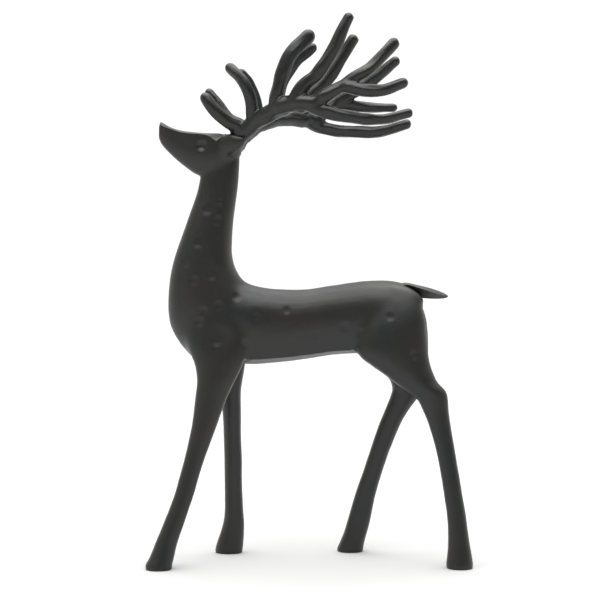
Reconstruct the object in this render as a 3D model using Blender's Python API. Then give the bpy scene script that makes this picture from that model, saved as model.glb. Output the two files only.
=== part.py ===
"""Standing stag figure in cast iron: one casting for the animal and one for each antler.

Each form is lofted through cross-sections, the forms of a casting are fused into one skin,
and the skin is trimmed flat under the hooves and at the seats of the antlers.
Metres, +Z up. The stag stands on Z = 0, faces -X and has its left side towards -Y.
"""

from collections import namedtuple

import bmesh
import bpy
import numpy as np
from mathutils import Matrix, Vector

# Driving sizes
HEIGHT = 0.4764  # floor to the tip of the tallest tine
DRAWN_HEIGHT = 476.4  # the pose and the forms are drawn on a figure this many units tall
UNIT = HEIGHT / DRAWN_HEIGHT
STANDING_POINT = (8.2, 0, 1.6)  # the point of the drawing that comes to the origin, on the floor
SEAT_GAP = 0.0003  # between an antler's foot and the seat that it stands on
SEAT_RADIUS = 0.0078  # the round foot of an antler, and the seat under it
SEAT_CUTTER_LENGTH = 0.030

# How finely the skins are made
RING_SIDES = 24
STEPS_BETWEEN_SECTIONS = 5
BODY_VOXEL = 1.8 * UNIT
ANTLER_VOXEL = 1.3 * UNIT
BODY_FACET_SHARE = 0.056
ANTLER_FACET_SHARE = 0.059
BODY_DRESSING_PASSES = 5
ANTLER_DRESSING_PASSES = 3

Upright = namedtuple("Upright", "level front back half_width")
Lying = namedtuple("Lying", "along low high half_width")
Leg = namedtuple("Leg", "top_side foot_side sections")
Tine = namedtuple("Tine", "girth tip_girth path")
Antler = namedtuple("Antler", "beam tines")

# Neck and chest, from the top of the head down to the brisket between the forelegs
NECK = [
    Upright(372, -80, -53, 9),
    Upright(350, -87, -54, 11),
    Upright(330, -90.9, -55.6, 12.5),
    Upright(300, -101, -59.6, 16),
    Upright(270, -111.5, -59.6, 20),
    Upright(247, -116, -49, 23),
    Upright(218, -116.4, -36, 25),
    Upright(196, -108.2, -38, 23),
    Upright(178, -92, -50, 15),
]
# Barrel of the body, from inside the chest to the rump
BARREL = [
    Lying(-100, 202, 236, 14),
    Lying(-80, 184, 249, 22),
    Lying(-50, 176.3, 248.6, 24.2),
    Lying(-21, 177.5, 243.1, 23.5),
    Lying(5, 180.6, 242.6, 22.4),
    Lying(30, 184.4, 246, 22),
    Lying(56, 186.2, 249.6, 23.4),
    Lying(80, 190, 250, 24),
    Lying(97, 198, 245.4, 19.5),
    Lying(108.5, 207, 234, 12),
]
LEFT_FORELEG = Leg(-14, -40, [
    Upright(232, -84, -64, 5),
    Upright(220, -94, -56, 8.8),
    Upright(206, -100, -49, 10.8),
    Upright(190, -99, -46, 11.6),
    Upright(176, -92.6, -50, 11.6),
    Upright(163, -90, -56.6, 11.2),
    Upright(146, -91.6, -64.4, 10.2),
    Upright(125, -94, -72.1, 9.2),
    Upright(104, -98.3, -79.8, 8.4),
    Upright(84, -103.3, -86.6, 8),
    Upright(63, -109.4, -92.5, 7.9),
    Upright(43, -116.7, -99.2, 8.2),
    Upright(23, -125, -106, 9),
    Upright(12.5, -129.4, -108.5, 9.9),
    Upright(5.5, -133.1, -110, 10.8),
    Upright(1.5, -132.6, -110.6, 10.5),
    Upright(-4, -128, -115, 8),
])
RIGHT_FORELEG = Leg(14, 39, [
    Upright(232, -84, -64, 5),
    Upright(220, -94, -56, 8.8),
    Upright(206, -98, -49, 10.8),
    Upright(190, -91, -46.5, 11.6),
    Upright(172, -80, -50.1, 11.2),
    Upright(151, -73.2, -53.3, 10),
    Upright(131, -70.5, -53.4, 9),
    Upright(109, -69.4, -53.5, 8.3),
    Upright(87, -68.8, -52.7, 8),
    Upright(65, -68.8, -52.8, 7.9),
    Upright(43, -68.9, -52, 8.2),
    Upright(31, -69.8, -51.1, 8.6),
    Upright(20, -72.7, -51.2, 9.4),
    Upright(9.5, -76.2, -52, 10.4),
    Upright(4, -77.5, -52.7, 10.8),
    Upright(1.5, -77, -53.2, 10.5),
    Upright(-4, -72, -58, 8),
])
LEFT_HIND_LEG = Leg(-13, -35, [
    Upright(244, 80, 97, 4.5),
    Upright(231, 66, 105.5, 9.4),
    Upright(216, 56, 110.2, 12.6),
    Upright(200, 49.5, 111.6, 14),
    Upright(191, 48.2, 112.2, 14.2),
    Upright(184, 51.9, 112.6, 14),
    Upright(175.5, 62.9, 114.3, 13.4),
    Upright(168, 73.7, 117, 12.6),
    Upright(161, 82.4, 120.6, 11.7),
    Upright(153.5, 93, 125.3, 10.6),
    Upright(146, 102.5, 129, 9.4),
    Upright(136, 107.6, 129.8, 8.5),
    Upright(125, 112, 131.2, 8),
    Upright(104, 117.9, 134.5, 7.7),
    Upright(84, 122, 137.8, 7.7),
    Upright(63, 125.4, 141.1, 8),
    Upright(43, 127.8, 144.3, 8.4),
    Upright(22, 128.3, 147.1, 9.4),
    Upright(12, 127.4, 148.7, 10.3),
    Upright(5.5, 126.6, 149.5, 10.9),
    Upright(1.5, 127.2, 148.9, 10.5),
    Upright(-4, 132, 144, 8),
])
RIGHT_HIND_LEG = Leg(13, 45, [
    Upright(244, 82, 99, 4.5),
    Upright(231, 68, 108.5, 9.4),
    Upright(216, 59, 114, 12.6),
    Upright(200, 54.5, 115.6, 14),
    Upright(190, 56, 115.9, 14),
    Upright(176, 68, 115.9, 13),
    Upright(162, 80.3, 114.8, 11.8),
    Upright(153, 83.7, 112.4, 10.8),
    Upright(145, 82.1, 107.5, 9.7),
    Upright(131, 76.4, 97.6, 8.6),
    Upright(119, 71.7, 91, 8.1),
    Upright(97, 64.4, 82.2, 7.7),
    Upright(75, 57.3, 75, 7.7),
    Upright(53, 50, 68.8, 8),
    Upright(30, 43.6, 64.3, 8.6),
    Upright(19, 40.2, 61.6, 9.4),
    Upright(9.5, 36.5, 59.2, 10.3),
    Upright(4, 34.2, 58.2, 10.8),
    Upright(1.5, 34.7, 57.7, 10.5),
    Upright(-4, 39, 53, 8),
])
# Head, from the muzzle to the nape. Its roof falls from a centre ridge to the brow edges.
HEAD = [
    Lying(-125, 376.5, 385, 3.6),
    Lying(-122.6, 371.2, 390.4, 5.4),
    Lying(-117.5, 365.3, 387.4, 6.8),
    Lying(-111, 358.9, 384.8, 8),
    Lying(-103, 352.1, 382.8, 9.8),
    Lying(-92, 344.6, 381.4, 12.2),
    Lying(-80, 342.8, 380.9, 13.6),
    Lying(-68, 348, 380, 13.2),
    Lying(-58, 356, 377.5, 11),
    Lying(-52, 362, 374, 8),
]
BROW_FALL = [1.2, 1.4, 1.6, 1.8, 2, 2.4, 3.6, 7, 8, 6]  # ridge down to the brow edge, section by section
# Ear, from its root to its tip: back, out from the middle, up, half breadth, half thickness
EAR = [
    (-73, 8, 369, 4, 3.4),
    (-66, 12.6, 369.4, 8.4, 3.4),
    (-59, 16, 370, 8.8, 2.9),
    (-53.4, 18, 371.8, 5.2, 2.2),
    (-48.8, 19.2, 374, 1.8, 1.2),
]
# Tail, from inside the rump to its tip: back, out, up, half height, half breadth
TAIL = [
    (76, 0, 240, 7, 8),
    (92, 0, 242, 6.6, 9.5),
    (104, 0, 240.8, 6.3, 10),
    (114, 0, 239, 5.5, 8.6),
    (123, 0, 237.7, 3.9, 5.8),
    (131, 0, 236.4, 1.2, 1.6),
]

# Seats of the antlers, given for the left one: back, out from the middle, up
SEAT = (-52.5, 9, 378.4)
SEAT_FACING = (0.45, 0.25, 0.86)
PEDICLE_ROOT = (-63, 4.5, 364)
PEDICLE_ROOT_GIRTH = 8

# The two antlers. A beam has its half girth at each point, and a tine has one at its root and one at its tip.
# Every point is given as back, out from the middle and up.
LEFT_ANTLER = Antler(
    [
        (-56.5, 6.8, 370.5, 7.8),
        (-52.5, 9, 378.4, 7.8),
        (-41, 16.5, 386.6, 7.3),
        (-29, 25.5, 393.9, 7.4),
        (-14, 37.5, 400.3, 7.9),
        (0, 46.5, 401.5, 7.9),
        (11, 52, 400.6, 6.8),
        (17, 54, 399.8, 5.6),
    ],
    [
        Tine(6.4, 4.6, [(-48, 11, 384), (-63.2, 15, 389.8), (-75.7, 19, 400.5), (-82.1, 19, 409.4)]),
        Tine(5.6, 4.5, [(-41, 17, 388), (-42.2, 21, 404.2), (-45.5, 23, 416.1), (-51.8, 22, 427), (-60.8, 18, 435.5)]),
        Tine(6.3, 5.7, [(-22, 33, 398), (-19.2, 36, 412), (-15.4, 38, 429), (-8.3, 37.5, 444.5), (6.8, 34.5, 460.2)]),
        Tine(7.2, 4.3, [(-7, 43.5, 400), (4.4, 48.5, 416.8), (14.8, 50.5, 425.6), (27.2, 52, 444.8), (41, 52, 472.9)]),
        Tine(5.8, 4.7, [(15, 54, 401.4), (28, 56, 410.2), (50.3, 55, 424), (62, 52, 432.8), (79.5, 46, 452.3)]),
        Tine(5.8, 4.2, [(38, 57, 414.5), (48, 58.5, 412.2), (60, 60, 410.6), (71, 60, 411), (86.8, 58, 416.8)]),
        Tine(6, 3.9, [(9, 51.5, 398.5), (27, 56.5, 391.6), (41, 57, 388.6), (68, 48, 387.3), (92.6, 38, 394)]),
    ],
)
RIGHT_ANTLER = Antler(
    [
        (-56.5, 6.8, 370.5, 7.8),
        (-52.5, 9, 378.4, 7.8),
        (-39.8, 17, 388, 6.2),
        (-29, 26, 394.2, 6.2),
        (-14.7, 38, 398.6, 6.7),
        (0, 47, 399.5, 7.2),
        (12, 52, 398.2, 6.8),
        (19, 54.5, 396.6, 5.4),
    ],
    [
        Tine(5.8, 4, [(-47, 11.5, 384), (-55.3, 13, 391), (-64.1, 15.5, 396.3), (-73.6, 18, 408.6), (-81.3, 19, 419.2)]),
        Tine(5.2, 4.4, [(-38, 18.5, 389), (-38.7, 20.5, 406), (-41.6, 21.5, 418.3), (-46.4, 21, 429.2), (-52.7, 18.5, 436.4)]),
        Tine(5.2, 4.3, [(-21, 33, 397), (-19.3, 36, 417), (-15, 37.5, 433.5), (-2.6, 37, 451.6), (11, 34.5, 462.6)]),
        Tine(5.6, 4.8, [(0, 47, 401), (10, 49.5, 420.2), (20.5, 50.5, 431.7), (31, 51.5, 444.5), (48.6, 51, 472.6)]),
        Tine(5.8, 4.4, [(15, 53, 400), (34, 56, 415), (50, 54.5, 425), (66.5, 51.5, 435.4), (87, 45.5, 452)]),
        Tine(5.4, 3.6, [(30, 56, 413), (44, 58, 414.3), (56, 59.5, 412.8), (68, 61, 411.8), (86.5, 61.5, 411.7)]),
        Tine(6.4, 4.1, [(10, 51, 396.5), (20, 54.5, 392.6), (44, 56, 389), (74, 48.5, 388), (97, 39.5, 393.6)]),
    ],
)


def clear_scene():
    """Starts from an empty scene."""
    for obj in list(bpy.data.objects):
        bpy.data.objects.remove(obj, do_unlink=True)


def smooth_rows(rows, steps=STEPS_BETWEEN_SECTIONS):
    """Rows of numbers on a smooth curve through the given rows."""
    rows = np.array(rows, float)
    framed = np.vstack([2 * rows[0] - rows[1], rows, 2 * rows[-1] - rows[-2]])
    found = []
    for before, start, end, after in zip(framed, framed[1:], framed[2:], framed[3:]):
        for t in np.arange(steps) / steps:
            bend = (2 * before - 5 * start + 4 * end - after) * t**2
            turn = (3 * start - before - 3 * end + after) * t**3
            found.append(0.5 * (2 * start + (end - before) * t + bend + turn))
    found.append(rows[-1])
    return found


def add_ring(bm, centre, reach_a, reach_b, power=2.2, roof=None):
    """One closed cross-section: a rounded form whose half axes are reach_a and reach_b. Returns its edges.

    With a roof, the upper half is boxy and falls by that much from the middle to its corners.
    """
    made = bmesh.ops.create_circle(bm, radius=1.0, segments=RING_SIDES)
    for vert in made["verts"]:
        a, b = vert.co.x, vert.co.y
        own_power = 6 if roof is not None and b > 0 else power
        stretch = (abs(a) ** own_power + abs(b) ** own_power) ** (-1 / own_power)
        a, b = a * stretch, b * stretch
        vert.co = Vector(centre) + Vector(reach_a) * a + Vector(reach_b) * b
        if roof is not None and b > 0:
            vert.co.z -= roof * abs(a) * b
    return list({edge for vert in made["verts"] for edge in vert.link_edges})


def skin_rings(bm, rings):
    """Joins the rings one to the next and closes both ends."""
    for ring, following in zip(rings, rings[1:]):
        bmesh.ops.bridge_loops(bm, edges=ring + following)
    for end in (rings[0], rings[-1]):
        bmesh.ops.edgeloop_fill(bm, edges=end)


def add_upright(bm, sections, side_at):
    """A form with level sections. side_at gives its middle's distance to the side at each level."""
    rings = []
    for level, front, back, half_width in smooth_rows(sections):
        centre = ((front + back) / 2, side_at(level), level)
        rings.append(add_ring(bm, centre, ((back - front) / 2, 0, 0), (0, half_width, 0)))
    skin_rings(bm, rings)


def add_lying(bm, sections, power=2.2, roofs=None):
    """A form along X with upright sections, on the middle plane."""
    rows = [tuple(section) + (0 if roofs is None else roofs[i],) for i, section in enumerate(sections)]
    rings = []
    for along, low, high, half_width, roof in smooth_rows(rows):
        reach_up = (0, 0, (high - low) / 2)
        middle = (along, 0, (low + high) / 2)
        rings.append(add_ring(bm, middle, (0, half_width, 0), reach_up, power, None if roofs is None else roof))
    skin_rings(bm, rings)


def add_swept(bm, rows, sideways=(0, 1, 0), power=2.0):
    """A form along a path. Each row holds a point, the half size across the side axis and the one along it."""
    rows = smooth_rows(rows)
    points = [Vector(row[:3]) for row in rows]
    rings = []
    for i, (point, row) in enumerate(zip(points, rows)):
        ahead = (points[min(i + 1, len(points) - 1)] - points[max(i - 1, 0)]).normalized()
        up = ahead.cross(Vector(sideways)).normalized()
        side = up.cross(ahead)
        rings.append(add_ring(bm, point, up * row[3], side * row[4], power))
    skin_rings(bm, rings)


def add_leg(bm, leg):
    """A leg whose middle moves out from the body to the foot."""
    top = leg.sections[0].level

    def side_at(level):
        return leg.foot_side + (leg.top_side - leg.foot_side) * max(level, 0) / top

    add_upright(bm, leg.sections, side_at)


def round_tip(path, girth, tip_girth):
    """Rows for a tine: its half girth runs from one value to the other, and its tip is round."""
    rows = []
    last = len(path) - 1
    for i, point in enumerate(path):
        half = girth + (tip_girth - girth) * i / last
        rows.append((*point, half))
    tip, ahead = Vector(path[-1]), (Vector(path[-1]) - Vector(path[-2])).normalized()
    for reach, share in ((0.55, 0.87), (0.88, 0.6), (1.1, 0.2)):
        rows.append((*(tip + ahead * tip_girth * reach), tip_girth * share))
    return rows


def mirrored(point, side):
    """A point given for the left, out from the middle, put on the side: -1 is left, 1 is right."""
    return Vector((point[0], point[1] * side, point[2]))


def build_body_forms(bm):
    """The animal: neck, barrel, legs, head, ears, tail and the two pedicles under the antlers."""
    add_upright(bm, NECK, lambda level: 0)
    add_lying(bm, BARREL)
    add_lying(bm, HEAD, power=2.3, roofs=BROW_FALL)
    for leg in (LEFT_FORELEG, RIGHT_FORELEG, LEFT_HIND_LEG, RIGHT_HIND_LEG):
        add_leg(bm, leg)
    add_swept(bm, TAIL, power=1.5)
    for side in (-1, 1):
        add_swept(bm, [(*mirrored(row, side), *row[3:]) for row in EAR])
        seat = mirrored(SEAT, side)
        past_seat = seat + mirrored(SEAT_FACING, side) * 3
        girth = SEAT_RADIUS / UNIT
        add_swept(bm, [
            (*mirrored(PEDICLE_ROOT, side), PEDICLE_ROOT_GIRTH, PEDICLE_ROOT_GIRTH),
            (*seat, girth, girth),
            (*past_seat, girth, girth),
        ])


def build_antler_forms(bm, antler, side):
    """One antler: the beam and its tines, the last but one of which leaves the tine before it."""
    stems = [antler.beam] + [round_tip(tine.path, tine.girth, tine.tip_girth) for tine in antler.tines]
    for stem in stems:
        add_swept(bm, [(*mirrored(row, side), row[3], row[3]) for row in stem])


def cast_iron(name, color, roughness):
    """Dark oiled cast iron."""
    material = bpy.data.materials.new(name)
    material.use_nodes = True
    shader = material.node_tree.nodes["Principled BSDF"]
    shader.inputs["Base Color"].default_value = (*color, 1)
    shader.inputs["Metallic"].default_value = 0.35
    shader.inputs["Roughness"].default_value = roughness
    return material


def casting(name, bm, material, voxel, passes, facet_share):
    """A casting from its drawn forms: fused into one skin, with dressed joins and few facets."""
    bmesh.ops.recalc_face_normals(bm, faces=bm.faces)
    bm.transform(Matrix.Scale(UNIT, 4) @ Matrix.Translation(-Vector(STANDING_POINT)))
    mesh = bpy.data.meshes.new(name)
    bm.to_mesh(mesh)
    bm.free()
    mesh.materials.append(material)
    obj = bpy.data.objects.new(name, mesh)
    bpy.context.scene.collection.objects.link(obj)
    fuse = obj.modifiers.new("Fuse the forms", "REMESH")
    fuse.mode = "VOXEL"
    fuse.voxel_size = voxel
    fuse.use_smooth_shade = True
    dress = obj.modifiers.new("Dress the joins", "SMOOTH")
    dress.factor = 0.5
    dress.iterations = passes
    facets = obj.modifiers.new("Few facets", "DECIMATE")
    facets.ratio = facet_share
    return obj


def cutter(name, bm):
    """A shape that only cuts others."""
    bmesh.ops.recalc_face_normals(bm, faces=bm.faces)
    mesh = bpy.data.meshes.new(name)
    bm.to_mesh(mesh)
    bm.free()
    obj = bpy.data.objects.new(name, mesh)
    bpy.context.scene.collection.objects.link(obj)
    obj.hide_render = True
    obj.display_type = "WIRE"
    return obj


def cut(obj, tool):
    """Takes the tool's shape away from the object."""
    boolean = obj.modifiers.new("Trim by " + tool.name, "BOOLEAN")
    boolean.operation = "DIFFERENCE"
    boolean.solver = "EXACT"
    boolean.object = tool


def floor_cutter():
    """A block below the floor, which trims the hooves flat."""
    bm = bmesh.new()
    size = 2 * HEIGHT
    bmesh.ops.create_cube(bm, size=size, matrix=Matrix.Translation((0, 0, -size / 2)))
    return cutter("below_the_floor", bm)


def seat_cutter(name, side, radius, start, length):
    """A round bar square to an antler's seat, from start to start + length along the way the seat faces."""
    facing = mirrored(SEAT_FACING, side).normalized()
    seat = (mirrored(SEAT, side) - Vector(STANDING_POINT)) * UNIT
    turn = facing.to_track_quat("Z", "Y").to_matrix().to_4x4()
    bm = bmesh.new()
    bmesh.ops.create_cone(
        bm, cap_ends=True, segments=32, radius1=radius, radius2=radius, depth=length,
        matrix=Matrix.Translation(seat + facing * (start + length / 2)) @ turn,
    )
    return cutter(name, bm)


def main():
    clear_scene()
    body_iron = cast_iron("oiled_iron", (0.045, 0.048, 0.045), 0.5)
    antler_iron = cast_iron("antler_iron", (0.036, 0.038, 0.036), 0.42)

    bm = bmesh.new()
    build_body_forms(bm)
    body = casting("stag_body", bm, body_iron, BODY_VOXEL, BODY_DRESSING_PASSES, BODY_FACET_SHARE)
    cut(body, floor_cutter())
    for name, side, antler_drawing in (("left", -1, LEFT_ANTLER), ("right", 1, RIGHT_ANTLER)):
        cut(body, seat_cutter(f"{name}_seat_face", side, 1.25 * SEAT_RADIUS, 0, SEAT_CUTTER_LENGTH))
        bm = bmesh.new()
        build_antler_forms(bm, antler_drawing, side)
        antler = casting(
            f"antler_{name}", bm, antler_iron, ANTLER_VOXEL, ANTLER_DRESSING_PASSES, ANTLER_FACET_SHARE
        )
        foot_cutter = seat_cutter(
            f"{name}_foot_face", side, 2 * SEAT_RADIUS, SEAT_GAP - SEAT_CUTTER_LENGTH, SEAT_CUTTER_LENGTH
        )
        cut(antler, foot_cutter)


main()
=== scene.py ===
"""Looks of the standing cast iron stag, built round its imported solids.

The stag is made of three castings: the animal, and an antler on either side of the head.
Each casting is lofted from the same drawn sections as its solid and fused at a fine pitch.
Then it is dressed as the foundry's pattern was: blended joins, dimples in the skin, an eye,
a crisp brow and tail, and bark on the antlers.

The drawing is in units of about a millimetre: X runs back from the muzzle, Y across, Z up.
"""

import logging
import math
import random
from dataclasses import dataclass, field
from enum import Enum
from typing import Callable, NamedTuple, Optional, Sequence

import bmesh
import bpy
import numpy as np
from mathutils import Matrix, Vector, noise


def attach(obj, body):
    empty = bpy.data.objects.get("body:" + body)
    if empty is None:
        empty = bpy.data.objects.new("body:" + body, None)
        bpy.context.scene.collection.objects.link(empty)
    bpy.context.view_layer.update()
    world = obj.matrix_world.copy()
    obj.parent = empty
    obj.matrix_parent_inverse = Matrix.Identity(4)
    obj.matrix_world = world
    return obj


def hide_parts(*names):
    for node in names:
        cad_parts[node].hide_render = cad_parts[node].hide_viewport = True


logging.basicConfig(level=logging.INFO, format="%(name)s: %(message)s")
LOG = logging.getLogger("stag")

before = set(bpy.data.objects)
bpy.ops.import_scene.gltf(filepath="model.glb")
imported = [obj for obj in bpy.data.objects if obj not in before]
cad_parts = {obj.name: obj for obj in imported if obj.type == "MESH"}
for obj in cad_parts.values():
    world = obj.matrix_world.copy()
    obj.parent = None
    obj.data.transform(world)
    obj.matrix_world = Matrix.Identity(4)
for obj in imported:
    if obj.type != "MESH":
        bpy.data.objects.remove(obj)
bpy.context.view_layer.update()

HEIGHT = 0.4764  # floor to the tip of the tallest tine, in metres
DRAWN_HEIGHT = 476.4
UNIT = HEIGHT / DRAWN_HEIGHT
STANDING_POINT = Vector((8.2, 0, 1.6))  # the point of the drawing that stands at the origin

SEAT = (-52.5, 9, 378.4)  # middle of an antler's seat: back, out from the middle, up
SEAT_FACING = (0.45, 0.25, 0.86)
SEAT_RADIUS = 7.8
SEAT_GAP = 0.3  # between an antler's foot and its seat
SEAT_CUTTER_LENGTH = 30

ROUND_POWER = 2.2  # how boxy the animal's sections are, where 2 is an ellipse
RELAX_SHARE = 0.5  # of the way to its neighbours' mean, which a point goes in one pass
FAIR_BACK = 0.52  # of that way, which fairing then takes a point back
NEAR_SLOPE = 1.7  # how steeply a blend's weight rises from its rim
ROUND_TIP = ((0.55, 0.87), (0.88, 0.6), (1.1, 0.2))  # past a tine's end, and half girth, in tip half girths
BALL = (-0.97, -0.85, -0.6, -0.3, 0, 0.3, 0.6, 0.85, 0.97)  # sections of a ball, in radii from its middle


class Side(Enum):
    """Side of the animal, with the sign of its Y."""

    LEFT = -1
    RIGHT = 1

    def put(self, point: Sequence[float]) -> Vector:
        """Puts a point that is given as back, out from the middle and up on this side."""
        return Vector((point[0], point[1] * self.value, point[2]))


class Upright(NamedTuple):
    """A level section: its height, its front and back, and half its width."""

    level: float
    front: float
    back: float
    half_width: float


class Lying(NamedTuple):
    """An upright section on the middle plane: its place along the body, low, high and half its width."""

    along: float
    low: float
    high: float
    half_width: float


class Leg(NamedTuple):
    """A leg: how far out its middle stands at the top and at the foot, and its level sections."""

    top_side: float
    foot_side: float
    sections: list[Upright]


class Tine(NamedTuple):
    """A point of an antler: half its girth at the root and near the tip, and its path."""

    girth: float
    tip_girth: float
    path: list[tuple[float, float, float]]


class Pit(NamedTuple):
    """A hollow pressed into the skin: its place along and up, its size and its depth."""

    along: float
    up: float
    radius: float
    depth: float


class Way(Enum):
    """How a closed form is worked into a casting."""

    CUT = "DIFFERENCE"
    JOIN = "UNION"


def metres(point: Sequence[float]) -> Vector:
    """Gives a point of the drawing in the frame's metres."""
    return (Vector(point) - STANDING_POINT) * UNIT


def smooth_rows(rows: Sequence[Sequence[float]], steps: int) -> list[np.ndarray]:
    """Rows of numbers on a smooth curve through the given rows.

    Args:
        rows: The rows that the curve passes through.
        steps: How many rows to give for each stretch between two of them.

    Returns:
        The rows of the curve, from the first given row to the last.
    """
    given = np.array(rows, float)
    framed = np.vstack([2 * given[0] - given[1], given, 2 * given[-1] - given[-2]])
    found = []
    for before, start, end, after in zip(framed, framed[1:], framed[2:], framed[3:]):
        for t in np.arange(steps) / steps:
            bend = (2 * before - 5 * start + 4 * end - after) * t**2
            turn = (3 * start - before - 3 * end + after) * t**3
            found.append(0.5 * (2 * start + (end - before) * t + bend + turn))
    found.append(given[-1])
    return found


@dataclass
class Loft:
    """Draws closed forms into one bmesh, ring by ring."""

    sides: int = 40
    steps: int = 8
    bm: bmesh.types.BMesh = field(default_factory=bmesh.new)  # the form being drawn
    whole: bmesh.types.BMesh = field(default_factory=bmesh.new)  # all forms drawn before it

    def ring(
        self,
        centre: Sequence[float],
        reach_a: Sequence[float],
        reach_b: Sequence[float],
        power: float = ROUND_POWER,
        top_power: Optional[float] = None,
    ) -> list[bmesh.types.BMEdge]:
        """Draws one rounded cross-section.

        Args:
            centre: Its middle.
            reach_a: From the middle along its first half axis.
            reach_b: From the middle along its second half axis.
            power: 2 for an ellipse, and more for a boxier form.
            top_power: The same for the half towards reach_b, or None if it is no boxier.

        Returns:
            The ring's edges.
        """
        made = bmesh.ops.create_circle(self.bm, radius=1.0, segments=self.sides)
        for vert in made["verts"]:
            a, b = vert.co.x, vert.co.y
            own_power = top_power if top_power and b > 0 else power
            stretch = (abs(a) ** own_power + abs(b) ** own_power) ** (-1 / own_power)
            vert.co = Vector(centre) + Vector(reach_a) * a * stretch + Vector(reach_b) * b * stretch
        return list({edge for vert in made["verts"] for edge in vert.link_edges})

    def skin(self, rings: list[list[bmesh.types.BMEdge]]) -> None:
        """Joins the rings one to the next, closes both ends and adds the form to the others.

        Args:
            rings: The edges of each ring, in order.
        """
        for ring, following in zip(rings, rings[1:]):
            bmesh.ops.bridge_loops(self.bm, edges=ring + following)
        for end in (rings[0], rings[-1]):
            bmesh.ops.edgeloop_fill(self.bm, edges=end)
        bmesh.ops.recalc_face_normals(self.bm, faces=self.bm.faces)
        form = bpy.data.meshes.new("form")
        self.bm.to_mesh(form)
        self.whole.from_mesh(form)
        bpy.data.meshes.remove(form)
        self.bm.clear()

    def upright(self, sections: Sequence[Upright], side_at: Callable[[float], float]) -> None:
        """Draws a form with level sections.

        Args:
            sections: The sections from the top down.
            side_at: Gives the Y of the form's middle at a level.
        """
        rings = []
        for level, front, back, half_width in smooth_rows(sections, self.steps):
            centre = ((front + back) / 2, side_at(level), level)
            rings.append(self.ring(centre, ((back - front) / 2, 0, 0), (0, half_width, 0)))
        self.skin(rings)

    def lying(
        self, sections: Sequence[Lying], power: float = ROUND_POWER, top_power: Optional[float] = None
    ) -> None:
        """Draws a form along X with upright sections, on the middle plane.

        Args:
            sections: The sections from the front to the back.
            power: How boxy they are.
            top_power: How boxy their upper halves are, or None if they are no boxier.
        """
        rings = []
        for along, low, high, half_width in smooth_rows(sections, self.steps):
            middle = (along, 0, (low + high) / 2)
            reach_up = (0, 0, (high - low) / 2)
            rings.append(self.ring(middle, (0, half_width, 0), reach_up, power, top_power))
        self.skin(rings)

    def swept(self, rows: Sequence[Sequence[float]], power: float = 2.0) -> None:
        """Draws a form along a path.

        Args:
            rows: Points of the path, each with the half size across the side axis and the one along it.
            power: How boxy the form is.
        """
        smooth = smooth_rows(rows, self.steps)
        points = [Vector(row[:3]) for row in smooth]
        rings = []
        for i, (point, row) in enumerate(zip(points, smooth)):
            ahead = (points[min(i + 1, len(points) - 1)] - points[max(i - 1, 0)]).normalized()
            up = ahead.cross(Vector((0, 1, 0))).normalized()
            side = up.cross(ahead)
            rings.append(self.ring(point, up * row[3], side * row[4], power))
        self.skin(rings)

    def corners(self, points: Sequence[Sequence[float]]) -> list[bmesh.types.BMEdge]:
        """Draws one cross-section with crisp corners.

        Args:
            points: Its corners, in order.

        Returns:
            The section's edges.
        """
        made = bmesh.ops.create_circle(self.bm, radius=1.0, segments=len(points))
        for vert, point in zip(made["verts"], points):
            vert.co = point
        return list({edge for vert in made["verts"] for edge in vert.link_edges})

    def crisp(self) -> bmesh.types.BMesh:
        """Finishes the drawn forms as they are, without fusing them.

        Returns:
            The forms, in metres in the frame.
        """
        self.bm.free()
        for face in self.whole.faces:
            face.smooth = True
        self.whole.transform(Matrix.Scale(UNIT, 4) @ Matrix.Translation(-STANDING_POINT))
        return self.whole

    def fuse(self, name: str, pitch: float) -> bpy.types.Object:
        """Fuses the drawn forms into one even skin.

        Args:
            name: The name of the new object.
            pitch: How far apart the skin's points are, in drawing units.

        Returns:
            The object, in metres in the frame.
        """
        self.whole.transform(Matrix.Scale(UNIT, 4) @ Matrix.Translation(-STANDING_POINT))
        rough = bpy.data.meshes.new(name + "_forms")
        self.whole.to_mesh(rough)
        self.whole.free()
        self.bm.free()
        obj = bpy.data.objects.new(name, rough)
        bpy.context.scene.collection.objects.link(obj)
        remesh = obj.modifiers.new("Fuse the forms", "REMESH")
        remesh.mode = "VOXEL"
        remesh.voxel_size = pitch * UNIT
        remesh.use_smooth_shade = True
        fused = bpy.data.meshes.new_from_object(obj.evaluated_get(bpy.context.evaluated_depsgraph_get()))
        obj.modifiers.clear()
        obj.data = fused
        fused.name = name
        bpy.data.meshes.remove(rough)
        return obj


def noise_at(places: np.ndarray, seed: float) -> np.ndarray:
    """Gives an even noise from -1 to 1.

    Args:
        places: Where to read it, one row a place.
        seed: A shift that makes another noise.

    Returns:
        The noise at each place.
    """
    shift = Vector((seed, 2.7 * seed, -1.3 * seed))
    return np.array([noise.noise(Vector(place) + shift) for place in places])


def work_in(obj: bpy.types.Object, form: bmesh.types.BMesh, way: Way) -> None:
    """Cuts a closed form away from a casting, or joins it on.

    Args:
        obj: The casting.
        form: The form, in metres; it is freed.
        way: Whether it is cut away or joined on.
    """
    tool_mesh = bpy.data.meshes.new("tool")
    form.to_mesh(tool_mesh)
    form.free()
    tool = bpy.data.objects.new("tool", tool_mesh)
    bpy.context.scene.collection.objects.link(tool)
    work = obj.modifiers.new("Work in the form", "BOOLEAN")
    work.operation = way.value
    work.solver = "EXACT"
    work.object = tool
    worked = bpy.data.meshes.new_from_object(obj.evaluated_get(bpy.context.evaluated_depsgraph_get()))
    obj.modifiers.clear()
    before = obj.data
    worked.name = before.name + "_cut"
    obj.data = worked
    bpy.data.meshes.remove(before)
    bpy.data.objects.remove(tool, do_unlink=True)
    bpy.data.meshes.remove(tool_mesh)


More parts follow.
